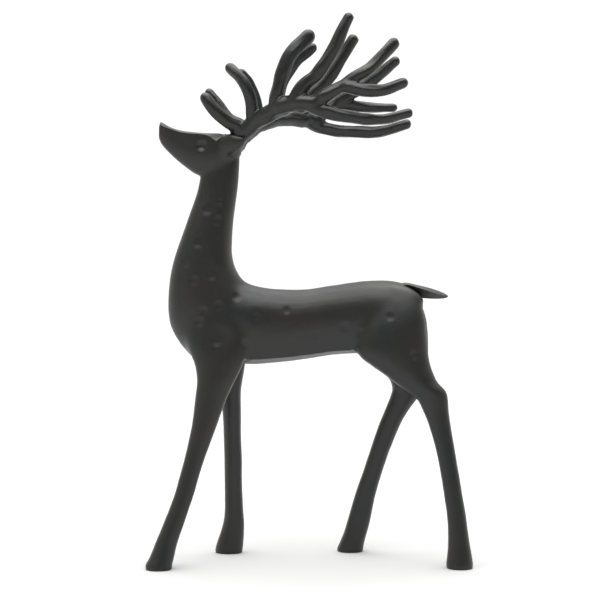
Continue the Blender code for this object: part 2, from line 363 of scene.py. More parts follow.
def cut_seat(obj: bpy.types.Object, side: Side, radius: float, start: float) -> None:
    """Cuts a casting flat at an antler's seat with a round bar square to it.

    Args:
        obj: The casting.
        side: Which antler's seat.
        radius: The bar's radius.
        start: Where the bar starts, along the way the seat faces.
    """
    facing = side.put(SEAT_FACING).normalized()
    middle = metres(side.put(SEAT)) + facing * (start + SEAT_CUTTER_LENGTH / 2) * UNIT
    bar = bmesh.new()
    bmesh.ops.create_cone(
        bar, cap_ends=True, segments=48, radius1=radius * UNIT, radius2=radius * UNIT,
        depth=SEAT_CUTTER_LENGTH * UNIT,
        matrix=Matrix.Translation(middle) @ facing.to_track_quat("Z", "Y").to_matrix().to_4x4(),
    )
    work_in(obj, bar, Way.CUT)


class Skin:
    """The points of a fine mesh in drawing units, for work by hand on its surface."""

    def __init__(self, obj: bpy.types.Object) -> None:
        """Reads the object's mesh.

        Args:
            obj: An object whose mesh is in metres.
        """
        self.mesh = obj.data
        count = len(self.mesh.vertices)
        flat = np.empty(count * 3)
        self.mesh.vertices.foreach_get("co", flat)
        self.points = flat.reshape(-1, 3) / UNIT + np.array(STANDING_POINT)
        ends = np.empty(len(self.mesh.edges) * 2, np.int64)
        self.mesh.edges.foreach_get("vertices", ends)
        self.starts, self.stops = ends[0::2], ends[1::2]
        links = np.bincount(ends, minlength=count).astype(float)
        self.links = np.maximum(links, 1)

    @property
    def x(self) -> np.ndarray:
        """How far back each point is."""
        return self.points[:, 0]

    @property
    def y(self) -> np.ndarray:
        """How far across each point is."""
        return self.points[:, 1]

    @property
    def z(self) -> np.ndarray:
        """How high each point is."""
        return self.points[:, 2]

    def write(self) -> None:
        """Writes the points back to the mesh, in metres."""
        flat = ((self.points - np.array(STANDING_POINT)) * UNIT).ravel()
        self.mesh.vertices.foreach_set("co", flat)
        self.mesh.update()

    def normals(self) -> np.ndarray:
        """Reads the outward directions.

        Returns:
            The outward direction at each point.
        """
        self.write()
        flat = np.empty(len(self.points) * 3)
        self.mesh.vertex_normals.foreach_get("vector", flat)
        return flat.reshape(-1, 3)

    def pull(self, values: np.ndarray) -> np.ndarray:
        """Compares each point's values with its neighbours'.

        Args:
            values: A row of values for each point.

        Returns:
            The mean of the neighbours' values less the point's own.
        """
        mean = np.empty_like(values)
        for column in range(values.shape[1]):
            v = values[:, column]
            total = np.bincount(self.starts, v[self.stops], len(v))
            total += np.bincount(self.stops, v[self.starts], len(v))
            mean[:, column] = total / self.links
        return mean - values

    def relax(self, passes: int, weight: Optional[np.ndarray] = None) -> None:
        """Smooths the surface, which rounds it off.

        Args:
            passes: How many times over.
            weight: How much at each point, from 0 to 1, or None for everywhere.
        """
        share = RELAX_SHARE if weight is None else RELAX_SHARE * weight[:, None]
        for _ in range(passes):
            self.points += share * self.pull(self.points)

    def fair(self, passes: int) -> None:
        """Takes the steps out of the surface without thinning its forms.

        Args:
            passes: How many times over.
        """
        for _ in range(passes):
            self.points += RELAX_SHARE * self.pull(self.points)
            self.points -= FAIR_BACK * self.pull(self.points)

    def near(self, centre: Sequence[float], radius: float) -> np.ndarray:
        """Gives a weight that is 1 at the centre and fades to 0 at the radius."""
        away = np.linalg.norm(self.points - np.array(centre), axis=1) / radius
        return np.clip(NEAR_SLOPE * (1 - away), 0, 1)

    def push(self, amount: np.ndarray) -> None:
        """Moves each point out by its amount, in drawing units."""
        self.points += self.normals() * amount[:, None]

    def grain(self, pitch: float, seed: float) -> np.ndarray:
        """Reads an even noise at each point.

        Args:
            pitch: The size of its lumps.
            seed: A shift that makes another noise.

        Returns:
            The noise, from -1 to 1, at each point.
        """
        return noise_at(self.points / pitch, seed)

    def dent(self, place: Sequence[float], radius: float, depth: float) -> None:
        """Presses a round hollow with a soft rim into the skin.

        Args:
            place: A point near the skin.
            radius: The hollow's radius.
            depth: How deep it is in its middle.
        """
        away = np.linalg.norm(self.points - np.array(place), axis=1)
        middle = self.points[np.argmin(away)]
        reach = np.linalg.norm(self.points - middle, axis=1) / radius
        self.push(-depth * np.clip(1 - reach**2, 0, 1) ** 2)


@dataclass
class StagBody:
    """The animal: neck, barrel, head, ears, tail and four legs in one casting."""

    pitch: float = 1.29
    neck: list[Upright] = field(default_factory=lambda: [
        Upright(372, -80, -53, 9),
        Upright(350, -87, -54, 11),
        Upright(330, -90.9, -55.6, 12.5),
        Upright(300, -101, -59.6, 16),
        Upright(270, -111.5, -59.6, 20),
        Upright(247, -116, -49, 23),
        Upright(218, -116.4, -36, 25),
        Upright(196, -108.2, -38, 23),
        Upright(178, -92, -50, 15),
    ])
    barrel: list[Lying] = field(default_factory=lambda: [
        Lying(-100, 202, 236, 14),
        Lying(-80, 184, 249, 22),
        Lying(-50, 176.3, 248.6, 24.2),
        Lying(-21, 177.5, 243.1, 23.5),
        Lying(5, 180.6, 242.6, 22.4),
        Lying(30, 184.4, 246, 22),
        Lying(56, 186.2, 249.6, 23.4),
        Lying(80, 190, 250, 24),
        Lying(97, 198, 245.4, 19.5),
        Lying(108.5, 207, 234, 12),
    ])
    left_foreleg: Leg = Leg(-14, -40, [
        Upright(232, -84, -64, 5),
        Upright(220, -94, -56, 8.8),
        Upright(206, -100, -49, 10.8),
        Upright(190, -99, -46, 11.6),
        Upright(176, -92.6, -50, 11.6),
        Upright(163, -90, -56.6, 11.2),
        Upright(146, -91.6, -64.4, 10.2),
        Upright(125, -94, -72.1, 9.2),
        Upright(104, -98.3, -79.8, 8.4),
        Upright(84, -103.3, -86.6, 8),
        Upright(63, -109.4, -92.5, 7.9),
        Upright(43, -116.7, -99.2, 8.2),
        Upright(23, -125, -106, 9),
        Upright(12.5, -129.4, -108.5, 9.9),
        Upright(5.5, -133.1, -110, 10.8),
        Upright(1.5, -132.6, -110.6, 10.5),
        Upright(-4, -128, -115, 8),
    ])
    right_foreleg: Leg = Leg(14, 39, [
        Upright(232, -84, -64, 5),
        Upright(220, -94, -56, 8.8),
        Upright(206, -98, -49, 10.8),
        Upright(190, -91, -46.5, 11.6),
        Upright(172, -80, -50.1, 11.2),
        Upright(151, -73.2, -53.3, 10),
        Upright(131, -70.5, -53.4, 9),
        Upright(109, -69.4, -53.5, 8.3),
        Upright(87, -68.8, -52.7, 8),
        Upright(65, -68.8, -52.8, 7.9),
        Upright(43, -68.9, -52, 8.2),
        Upright(31, -69.8, -51.1, 8.6),
        Upright(20, -72.7, -51.2, 9.4),
        Upright(9.5, -76.2, -52, 10.4),
        Upright(4, -77.5, -52.7, 10.8),
        Upright(1.5, -77, -53.2, 10.5),
        Upright(-4, -72, -58, 8),
    ])
    left_hind_leg: Leg = Leg(-13, -35, [
        Upright(244, 80, 97, 4.5),
        Upright(231, 66, 105.5, 9.4),
        Upright(216, 56, 110.2, 12.6),
        Upright(200, 49.5, 111.6, 14),
        Upright(191, 48.2, 112.2, 14.2),
        Upright(184, 51.9, 112.6, 14),
        Upright(175.5, 62.9, 114.3, 13.4),
        Upright(168, 73.7, 117, 12.6),
        Upright(161, 82.4, 120.6, 11.7),
        Upright(153.5, 93, 127.4, 10.6),
        Upright(146, 102.5, 129.2, 9.4),
        Upright(136, 107.6, 129.8, 8.5),
        Upright(125, 112, 131.2, 8),
        Upright(104, 117.9, 134.5, 7.7),
        Upright(84, 122, 137.8, 7.7),
        Upright(63, 125.4, 141.1, 8),
        Upright(43, 127.8, 144.3, 8.4),
        Upright(22, 128.3, 147.1, 9.4),
        Upright(12, 127.4, 148.7, 10.3),
        Upright(5.5, 126.6, 149.5, 10.9),
        Upright(1.5, 127.2, 148.9, 10.5),
        Upright(-4, 132, 144, 8),
    ])
    right_hind_leg: Leg = Leg(13, 45, [
        Upright(244, 82, 99, 4.5),
        Upright(231, 68, 108.5, 9.4),
        Upright(216, 59, 114, 12.6),
        Upright(200, 54.5, 115.6, 14),
        Upright(190, 56, 115.9, 14),
        Upright(176, 68, 115.9, 13),
        Upright(162, 80.3, 114.8, 11.8),
        Upright(153, 83.7, 112.4, 10.8),
        Upright(145, 82.1, 107.5, 9.7),
        Upright(131, 76.4, 97.6, 8.6),
        Upright(119, 71.7, 91, 8.1),
        Upright(97, 64.4, 82.2, 7.7),
        Upright(75, 57.3, 75, 7.7),
        Upright(53, 50, 68.8, 8),
        Upright(30, 43.6, 64.3, 8.6),
        Upright(19, 40.2, 61.6, 9.4),
        Upright(9.5, 36.5, 59.2, 10.3),
        Upright(4, 34.2, 58.2, 10.8),
        Upright(1.5, 34.7, 57.7, 10.5),
        Upright(-4, 39, 53, 8),
    ])
    head: list[Lying] = field(default_factory=lambda: [
        Lying(-125, 376.5, 385, 3.6),
        Lying(-122.6, 371.2, 390.4, 5.4),
        Lying(-117.5, 365.3, 387.4, 6.8),
        Lying(-111, 358.9, 384.8, 8),
        Lying(-103, 352.1, 382.8, 9.8),
        Lying(-92, 344.6, 381.4, 12.2),
        Lying(-80, 342.8, 380.9, 13.6),
        Lying(-68, 348, 380, 13.2),
        Lying(-58, 356, 377.5, 11),
        Lying(-52, 362, 374, 8),
    ])
    roof: list[tuple[float, float, float, float]] = field(default_factory=lambda: [
        (-130, 394.6, 391.4, 5),
        (-122, 390.4, 387.2, 5.7),
        (-115, 386.5, 384.4, 7.2),
        (-106, 383.6, 381.2, 9),
        (-97, 382.4, 379.8, 11),
        (-86, 381.4, 378.8, 13),
        (-80.5, 381.1, 377.2, 13.6),
        (-77, 381, 375.2, 13.5),
        (-73.4, 380.6, 372.8, 13.4),
    ])  # back, ridge, brow edge, and how far out that edge is
    head_power: float = 2.3  # how boxy the head's sections are
    roof_power: float = 10  # how boxy their upper halves are, before the roof is planed
    roof_spare: float = 1.7  # what the roof is planed down by
    roof_top: float = 7  # from the ridge to the top of the form that is cut away
    roof_overhang: float = 1.4  # half width of that form, in half widths of the roof
    roof_lean: float = 1.1  # run over rise of that form's back end, along the front of the ears
    roof_lean_run: tuple[float, float] = (-88, -73.4)  # where its sections start to lean, and its end
    ear: list[tuple[float, ...]] = field(default_factory=lambda: [
        (-73, 8, 369, 4, 3.4),
        (-66, 12.6, 369.4, 8.4, 3.4),
        (-59, 16, 370, 8.8, 2.9),
        (-53.4, 18, 371.8, 5.2, 2.2),
        (-48.8, 19.2, 374, 1.8, 1.2),
    ])
    tail: list[tuple[float, ...]] = field(default_factory=lambda: [
        (82, 247, 244, 236, 7.5),
        (94, 248.5, 246.5, 235.5, 9.5),
        (104, 246.5, 244, 235.1, 10),
        (114, 244.1, 240.9, 234.3, 8.7),
        (122, 241.6, 238.4, 234.1, 6.2),
        (128, 239.1, 236.9, 234.5, 3.4),
        (131.4, 237, 236.2, 235.6, 0.9),
    ])  # back, ridge, crisp edge, keel, and how far out the edge is
    buttock: list[tuple[float, ...]] = field(default_factory=lambda: [
        (78, 10, 236, 12, 10),
        (90, 10, 234.5, 11.5, 10.5),
        (99, 10, 231, 10.3, 10),
        (106, 10, 227, 6.8, 7),
    ])
    pedicle_root: tuple[float, float, float] = (-63, 4.5, 364)
    pedicle_root_girth: float = 8
    seat_spare: float = 3  # of the pedicle past its seat, before the cut
    seat_cut: float = 1.25  # radius of the bar that cuts the seat, in seat radii
    joins: tuple[tuple[float, float, float, float, int], ...] = (
        (-72, 24, 200, 38, 60),
        (-94, 15, 196, 28, 90),
        (82, 24, 212, 42, 60),
        (-48, 0, 252, 34, 160),
        (-76, 12, 350, 19, 35),
        (97, 13, 235, 17, 12),
        (-60, 15, 361, 10, 24),
        (-46, 21, 192, 15, 60),
        (51, 22, 197, 17, 70),
    )  # where a blend is centred, for both sides, how far it reaches and how many passes it takes
    fair_passes: tuple[int, int] = (4, 2)  # before and after the joins are blended
    uneven: tuple[tuple[float, float, float], ...] = (
        (0.32, 26, 3.1), (0.1, 8, 5.3),
    )  # height, size and seed of the skin's slow swells
    crisp_angle: float = 34  # degrees between two faces past which their edge is crisp
    belly_share: float = 0.74  # place of the belly's edges, as a share of the barrel's half width
    belly_rise: tuple[float, float] = (5.2, 3.4)  # keel to belly edge, behind the chest and at the haunch
    belly_run: tuple[float, float] = (-49, 52)
    belly_fade: tuple[float, float] = (6, 8)  # the length over which its keel starts, and ends
    belly_facing: float = -0.12  # upward part of the normal, under which the skin is underside
    belly_reach: tuple[float, float] = (1.5, 4)  # below the keel, and short of the barrel's middle
    eye: Pit = Pit(-87.1, 368.4, 5.6, 2.7)
    eye_side: float = 16  # out from the middle, where an eye's place is taken
    pit_side: float = 28  # the same for the other hollows
    pits: tuple[tuple[float, float], ...] = (
        (-68, 321), (-83, 314), (-70, 303), (-91, 284), (-104, 268), (-94, 250), (-76, 255),
        (-54, 239), (-71, 228), (-85, 224), (-89, 214), (-37, 220), (-11, 226), (-73, 197),
        (-45, 194), (79, 219), (51, 205), (39, 208), (14, 202), (98, 185), (76, 175),
    )  # places of the hollows on the left side, back and up
    pit_radius: float = 5.6
    pit_depth: float = 0.68
    pit_least: float = 0.85  # size of the smallest on the left side, as a share of the usual one
    pit_spread: float = 0.3  # from the smallest to the largest
    far_pits: int = 24  # how many hollows the right side has
    far_pit_spacing: float = 15
    far_pit_tries: int = 2000
    far_pit_seed: int = 7
    far_pit_run: tuple[float, float] = (-108, 100)
    far_pit_levels: tuple[float, float] = (178, 322)
    far_pit_reach: float = 9  # from a drawn place to the skin, past which it is dropped
    far_pit_sizes: tuple[float, float] = (0.8, 1.15)
    floor_weld: float = 1e-7  # in metres, how close to the floor a point counts as on it

    def add_leg(self, loft: Loft, leg: Leg) -> None:
        """Draws a leg whose middle moves out from the body to the foot.

        Args:
            loft: What it is drawn into.
            leg: The leg.
        """
        top = leg.sections[0].level

        def side_at(level: float) -> float:
            """Gives the middle's Y at a level."""
            return leg.foot_side + (leg.top_side - leg.foot_side) * max(level, 0) / top

        loft.upright(leg.sections, side_at)

    def draw(self) -> Loft:
        """Draws all forms of the animal but its tail.

        Returns:
            The loft with the forms in it.
        """
        loft = Loft()
        loft.upright(self.neck, lambda level: 0.0)
        loft.lying(self.barrel)
        roof_end = self.roof[-1][0]
        unplaned = [
            section._replace(high=section.high + self.roof_spare) if section.along < roof_end else section
            for section in self.head
        ]
        loft.lying(unplaned, self.head_power, self.roof_power)
        for leg in (self.left_foreleg, self.right_foreleg, self.left_hind_leg, self.right_hind_leg):
            self.add_leg(loft, leg)
        for side in Side:
            for form in (self.buttock, self.ear):
                loft.swept([(*side.put(row), *row[3:]) for row in form])
            past_seat = side.put(SEAT) + side.put(SEAT_FACING) * self.seat_spare
            loft.swept([
                (*side.put(self.pedicle_root), self.pedicle_root_girth, self.pedicle_root_girth),
                (*side.put(SEAT), SEAT_RADIUS, SEAT_RADIUS),
                (*past_seat, SEAT_RADIUS, SEAT_RADIUS),
            ])
        return loft

    def blend_joins(self, skin: Skin) -> None:
        """Blends the legs into the barrel, and the neck into the back.

        Args:
            skin: The animal's skin.
        """
        for x, y, z, radius, passes in self.joins:
            for sign in (-1, 1) if y else (1,):
                skin.relax(passes, skin.near((x, y * sign, z), radius))

    def plane_roof(self, obj: bpy.types.Object) -> None:
        """Planes the roof of the head down to a crisp brow edge on either side.

        Args:
            obj: The animal.
        """
        loft = Loft()
        rings = []
        for along, ridge, brow, half in smooth_rows(self.roof, loft.steps):
            out = self.roof_overhang * half
            low, high = ridge - (ridge - brow) * out / half, ridge + self.roof_top
            corners = [(0, ridge), (out, low), (out, high), (-out, high), (-out, low)]
            lean = np.interp(along, self.roof_lean_run, (0, self.roof_lean))
            rings.append(loft.corners([(along + lean * (z - brow), y, z) for y, z in corners]))
        loft.skin(rings)
        work_in(obj, loft.crisp(), Way.CUT)

    def add_tail(self, obj: bpy.types.Object) -> None:
        """Joins the tail to the rump, with a ridge above, a keel below and crisp edges.

        Args:
            obj: The animal.
        """
        loft = Loft()
        rings = []
        for along, ridge, edge, keel, out in smooth_rows(self.tail, loft.steps):
            corners = [(0, ridge), (out, edge), (0, keel), (-out, edge)]
            rings.append(loft.corners([(along, y, z) for y, z in corners]))
        loft.skin(rings)
        work_in(obj, loft.crisp(), Way.JOIN)

    def sharpen_belly(self, skin: Skin) -> None:
        """Gives the belly a shallow keel with a crisp edge on either side.

        Args:
            skin: The animal's skin.
        """
        rows = np.array(smooth_rows(self.barrel, Loft.steps))
        low, high, half = (np.interp(skin.x, rows[:, 0], rows[:, k]) for k in (1, 2, 3))
        start, stop = self.belly_run
        fade_in, fade_out = self.belly_fade
        below, short = self.belly_reach
        rise = np.interp(skin.x, self.belly_run, self.belly_rise)
        fade = np.clip((skin.x - start) / fade_in, 0, 1) * np.clip((stop - skin.x) / fade_out, 0, 1)
        edge = half * self.belly_share
        curve = (1 - self.belly_share**ROUND_POWER) ** (1 / ROUND_POWER)
        gap = (low + high) / 2 - (high - low) / 2 * curve - low - rise
        out = np.abs(skin.y)
        under = skin.normals()[:, 2] < self.belly_facing
        under &= (skin.z > low - below) & (skin.z < (low + high) / 2 - short)
        keel = under & (out < edge)
        shift = low + rise * out / edge - skin.z
        skin.points[keel, 2] += (shift * fade)[keel]
        past = np.clip((out - edge) / np.maximum(half - edge, 1), 0, 1)
        flank = under & (out >= edge)
        skin.points[flank, 2] -= (gap * (1 - past) ** 2 * fade)[flank]

    def press_hollows(self, skin: Skin) -> None:
        """Presses the eyes and the hollows of the skin.

        Args:
            skin: The animal's skin.
        """
        for side in Side:
            place = side.put((self.eye.along, self.eye_side, self.eye.up))
            skin.dent(place, self.eye.radius, self.eye.depth)
        for i, (along, up) in enumerate(self.pits):
            size = self.pit_least + self.pit_spread * (i % 3) / 2
            place = Side.LEFT.put((along, self.pit_side, up))
            skin.dent(place, self.pit_radius * size, self.pit_depth * size)
        draw = random.Random(self.far_pit_seed)
        placed: list[Vector] = []
        for _ in range(self.far_pit_tries):
            if len(placed) == self.far_pits:
                break
            along = draw.uniform(*self.far_pit_run)
            place = Vector((along, self.pit_side, draw.uniform(*self.far_pit_levels)))
            away = np.linalg.norm(skin.points - np.array(place), axis=1).min()
            apart = all((place - other).length > self.far_pit_spacing for other in placed)
            if away < self.far_pit_reach and apart:
                placed.append(place)
                size = draw.uniform(*self.far_pit_sizes)
                skin.dent(place, self.pit_radius * size, self.pit_depth * size)

    def trim_hooves(self, obj: bpy.types.Object) -> None:
        """Cuts the hooves flat at the floor.

        Args:
            obj: The animal.
        """
        bm = bmesh.new()
        bm.from_mesh(obj.data)
        everything = bm.verts[:] + bm.edges[:] + bm.faces[:]
        cut = bmesh.ops.bisect_plane(
            bm, geom=everything, dist=self.floor_weld,
            plane_co=(0, 0, 0), plane_no=(0, 0, 1), clear_inner=True,
        )
        rim = [edge for edge in cut["geom_cut"] if isinstance(edge, bmesh.types.BMEdge)]
        bmesh.ops.holes_fill(bm, edges=rim, sides=0)
        bm.to_mesh(obj.data)
        bm.free()

    def build(self) -> bpy.types.Object:
        """Makes the finished animal.

        Returns:
            Its object.
        """
        obj = self.draw().fuse("stag", self.pitch)
        skin = Skin(obj)
        first, last = self.fair_passes
        skin.fair(first)
        self.blend_joins(skin)
        skin.fair(last)
        skin.push(sum(height * skin.grain(size, seed) for height, size, seed in self.uneven))
        self.press_hollows(skin)
        self.sharpen_belly(skin)
        skin.write()
        self.trim_hooves(obj)
        self.add_tail(obj)
        self.plane_roof(obj)
        for side in Side:
            cut_seat(obj, side, self.seat_cut * SEAT_RADIUS, 0)
        obj.data.set_sharp_from_angle(angle=math.radians(self.crisp_angle))
        return obj


@dataclass
class Antler:
    """One antler: a beam and its tines, with a skin like bark."""

    side: Side
    beam: list[tuple[float, float, float, float]]
    tines: list[Tine]
    pitch: float = 0.74
    facets: int = 32  # how many corners a stem's sections are drawn with
    path_steps: int = 12  # to a stretch of a stem, when the bark is laid along it
    bark_depth: float = 0.95  # of the long furrows
    furrow: tuple[float, float] = (1.3, 22)  # how fine they are round a stem, and how long
    chip_depth: float = 0.3  # of the short ones
    chip: tuple[float, float] = (2.8, 12)
    lump_depth: float = 0.8
    lump_size: float = 13
    seeds: tuple[float, float, float] = (11, 16, 20)  # of furrows, chips and lumps
    stem_shift: float = 40  # keeps the bark of one stem from repeating on the next
    least_girth: float = 3.6  # half girth under which the bark gets no finer
    full_girth: float = 6  # half girth at which the bark has its full depth
    depth_range: tuple[float, float] = (0.6, 1.2)  # the least and the most of that depth
    groove_depth: float = 0.45  # where two stems meet
    groove_width: float = 1.7
    web_width: float = 3.2  # of the fillets there
    web_passes: int = 30
    fullness: float = 0.6  # what smoothing takes off the stems, and is put back
    lobe: tuple[float, float, float, float] = (-58, 11, 384.4, 4.6)  # at the foot, over the ear
    smooth_tip: float = 9  # from a tine's tip to where the bark is at its full depth
    smooth_foot: float = 13  # the same from the seat
    smooth_passes: int = 14  # before the bark is carved
    settle_passes: int = 4  # after it
    seat_cut: float = 1.12  # radius of the bar that cuts the foot, in seat radii

    @staticmethod
    def round_tip(tine: Tine) -> list[tuple[float, float, float, float]]:
        """Draws a tine as points, with a round tip.

        Args:
            tine: The tine.

        Returns:
            Its points, each with half its girth there.
        """
        rows = []
        last = len(tine.path) - 1
        for i, point in enumerate(tine.path):
            rows.append((*point, tine.girth + (tine.tip_girth - tine.girth) * i / last))
        tip = Vector(tine.path[-1])
        ahead = (tip - Vector(tine.path[-2])).normalized()
        for reach, share in ROUND_TIP:
            rows.append((*(tip + ahead * tine.tip_girth * reach), tine.tip_girth * share))
        return rows

    def stems(self) -> list[list[tuple[float, float, float, float]]]:
        """Gives the beam and every tine as points with half girths, on the antler's own side."""
        drawn = [self.beam] + [self.round_tip(tine) for tine in self.tines]
        return [[(*self.side.put(row), row[3]) for row in stem] for stem in drawn]

    def foot_lobe(self) -> list[tuple[float, ...]]:
        """Draws the round lobe at the antler's foot as points.

        Returns:
            Its points, each with its two half sizes.
        """
        x, y, z, radius = self.lobe
        rows = []
        for reach in BALL:
            half = radius * math.sqrt(1 - reach**2)
            rows.append((*self.side.put((x + radius * reach, y, z)), half, half))
        return rows

    def carve_bark(self, skin: Skin) -> None:
        """Carves furrows along the stems, lumps on them, and a groove where two of them meet.

        Args:
            skin: The antler's skin.
        """
        count = len(skin.points)
        nearest, second = np.full(count, 1e9), np.full(count, 1e9)
        along, turn_a, turn_b = np.zeros(count), np.zeros(count), np.zeros(count)
        girth, calm = np.ones(count), np.ones(count)
        for i, stem in enumerate(self.stems()):
            rows = np.array(smooth_rows(stem, self.path_steps))
            spots, halves = rows[:, :3], rows[:, 3]
            steps = np.gradient(spots, axis=0)
            ahead = steps / np.linalg.norm(steps, axis=1)[:, None]
            run = np.cumsum(np.linalg.norm(steps, axis=1))
            squares = (skin.points**2).sum(1)[:, None] + (spots**2).sum(1)[None, :]
            reach = np.sqrt(np.maximum(squares - 2 * skin.points @ spots.T, 0)) - halves[None, :]
            at = reach.argmin(axis=1)
            distance = reach[np.arange(count), at]
            offset = skin.points - spots[at]
            up = np.cross(ahead[at], (0, 1, 0))
            up /= np.linalg.norm(up, axis=1)[:, None]
            side = np.cross(up, ahead[at])
            second = np.minimum(second, np.maximum(distance, nearest))
            closer = distance < nearest
            nearest[closer] = distance[closer]
            along[closer] = (run[at] + self.stem_shift * i)[closer]
            round_girth = np.maximum(halves[at], self.least_girth)
            turn_a[closer] = ((offset * up).sum(1) / round_girth)[closer]
            turn_b[closer] = ((offset * side).sum(1) / round_girth)[closer]
            girth[closer] = halves[at][closer]
            left_to_tip = (run[-1] - run[at]) / self.smooth_tip
            calm[closer] = (np.clip(left_to_tip, 0, 1) if i else np.ones(count))[closer]
        apart = second - nearest
        skin.relax(self.web_passes, np.exp(-((apart / self.web_width) ** 2)))
        furrow_seed, chip_seed, lump_seed = (seed + self.side.value for seed in self.seeds)
        fine, length = self.furrow
        furrows = noise_at(np.column_stack([fine * turn_a, fine * turn_b, along / length]), furrow_seed)
        fine, length = self.chip
        chips = noise_at(np.column_stack([fine * turn_a, fine * turn_b, along / length]), chip_seed)
        lumps = skin.grain(self.lump_size, lump_seed)
        from_seat = np.linalg.norm(skin.points - np.array(self.side.put(SEAT)), axis=1)
        foot = np.clip((from_seat - SEAT_RADIUS) / self.smooth_foot, 0, 1)
        meeting = np.exp(-((apart / self.groove_width) ** 2)) * foot
        bark = (self.bark_depth * furrows + self.chip_depth * chips) * (1 - meeting) * calm
        carved = (bark + self.lump_depth * lumps) * foot
        depth = np.clip(girth / self.full_girth, *self.depth_range)
        skin.push(carved * depth - self.groove_depth * meeting)
        skin.relax(self.settle_passes)

    def build(self) -> bpy.types.Object:
        """Makes the finished antler.

        Returns:
            Its object.
        """
        loft = Loft(sides=self.facets)
        for stem in self.stems():
            loft.swept([(*row, row[3]) for row in stem])
        loft.swept(self.foot_lobe())
        obj = loft.fuse(f"antler_of_the_{self.side.name.lower()}", self.pitch)
        skin = Skin(obj)
        skin.relax(self.smooth_passes)
        skin.push(np.full(len(skin.points), self.fullness))
        self.carve_bark(skin)
        skin.write()
        cut_seat(obj, self.side, self.seat_cut * SEAT_RADIUS, SEAT_GAP - SEAT_CUTTER_LENGTH)
        return obj


LEFT_ANTLER = Antler(
    Side.LEFT,
    [
        (-56.5, 6.8, 370.5, 7.8),
        (-52.5, 9, 378.4, 7.8),
        (-41, 16.5, 386.6, 7.3),
        (-29, 25.5, 393.9, 7.4),
        (-14, 37.5, 400.3, 7.9),
        (0, 46.5, 401.5, 7.9),
        (11, 52, 400.6, 6.8),
        (17, 54, 399.8, 5.6),
    ],
    [
        Tine(6.4, 4.6, [(-48, 11, 384), (-63.2, 15, 389.8), (-75.7, 19, 400.5), (-82.1, 19, 409.4)]),
        Tine(5.6, 4.5, [
            (-41, 17, 388), (-42.2, 21, 404.2), (-45.5, 23, 416.1), (-51.8, 22, 427), (-60.8, 18, 435.5),
        ]),
        Tine(6.3, 5.7, [
            (-22, 33, 398), (-19.2, 36, 412), (-15.4, 38, 429), (-8.3, 37.5, 444.5), (6.8, 34.5, 460.2),
        ]),
        Tine(7.2, 4.3, [
            (-7, 43.5, 400), (4.4, 48.5, 416.8), (14.8, 50.5, 425.6), (27.2, 52, 444.8), (41, 52, 472.9),
        ]),
        Tine(5.8, 4.7, [
            (15, 54, 401.4), (28, 56, 410.2), (50.3, 55, 424), (62, 52, 432.8), (79.5, 46, 452.3),
        ]),
        Tine(5.8, 4.2, [
            (38, 57, 414.5), (48, 58.5, 412.2), (60, 60, 410.6), (71, 60, 411), (86.8, 58, 416.8),
        ]),
        Tine(6, 3.9, [
            (9, 51.5, 398.5), (27, 56.5, 391.6), (41, 57, 388.6), (68, 48, 387.3), (92.6, 38, 394),
        ]),
    ],
)
RIGHT_ANTLER = Antler(
    Side.RIGHT,
    [
        (-56.5, 6.8, 370.5, 7.8),
        (-52.5, 9, 378.4, 7.8),
        (-39.8, 17, 388, 6.2),
        (-29, 26, 394.2, 6.2),
        (-14.7, 38, 398.6, 6.7),
        (0, 47, 399.5, 7.2),
        (12, 52, 398.2, 6.8),
        (19, 54.5, 396.6, 5.4),
    ],
    [
        Tine(5.8, 4, [
            (-47, 11.5, 384), (-55.3, 13, 391), (-64.1, 15.5, 396.3), (-73.6, 18, 408.6), (-81.3, 19, 419.2),
        ]),
        Tine(5.2, 4.4, [
            (-38, 18.5, 389), (-38.7, 20.5, 406), (-41.6, 21.5, 418.3), (-46.4, 21, 429.2),
            (-52.7, 18.5, 436.4),
        ]),
        Tine(5.2, 4.3, [
            (-21, 33, 397), (-19.3, 36, 417), (-15, 37.5, 433.5), (-2.6, 37, 451.6), (11, 34.5, 462.6),
        ]),
        Tine(5.6, 4.8, [
            (0, 47, 401), (10, 49.5, 420.2), (20.5, 50.5, 431.7), (31, 51.5, 444.5), (48.6, 51, 472.6),
        ]),
        Tine(5.8, 4.4, [
            (15, 53, 400), (34, 56, 415), (50, 54.5, 425), (66.5, 51.5, 435.4), (87, 45.5, 452),
        ]),
        Tine(5.4, 3.6, [
            (30, 56, 413), (44, 58, 414.3), (56, 59.5, 412.8), (68, 61, 411.8), (86.5, 61.5, 411.7),
        ]),
        Tine(6.4, 4.1, [
            (10, 51, 396.5), (20, 54.5, 392.6), (44, 56, 389), (74, 48.5, 388), (97, 39.5, 393.6),
        ]),
    ],
)


def add_node(nodes: bpy.types.Nodes, kind: str, values: dict[str, object]) -> bpy.types.Node:
    """Adds a shader node.

    Args:
        nodes: The nodes that it joins.
        kind: Its type.
        values: What its sockets are set to, by name.

    Returns:
        The node.
    """
    node = nodes.new(kind)
    for socket, value in values.items():
        node.inputs[socket].default_value = value
    return node


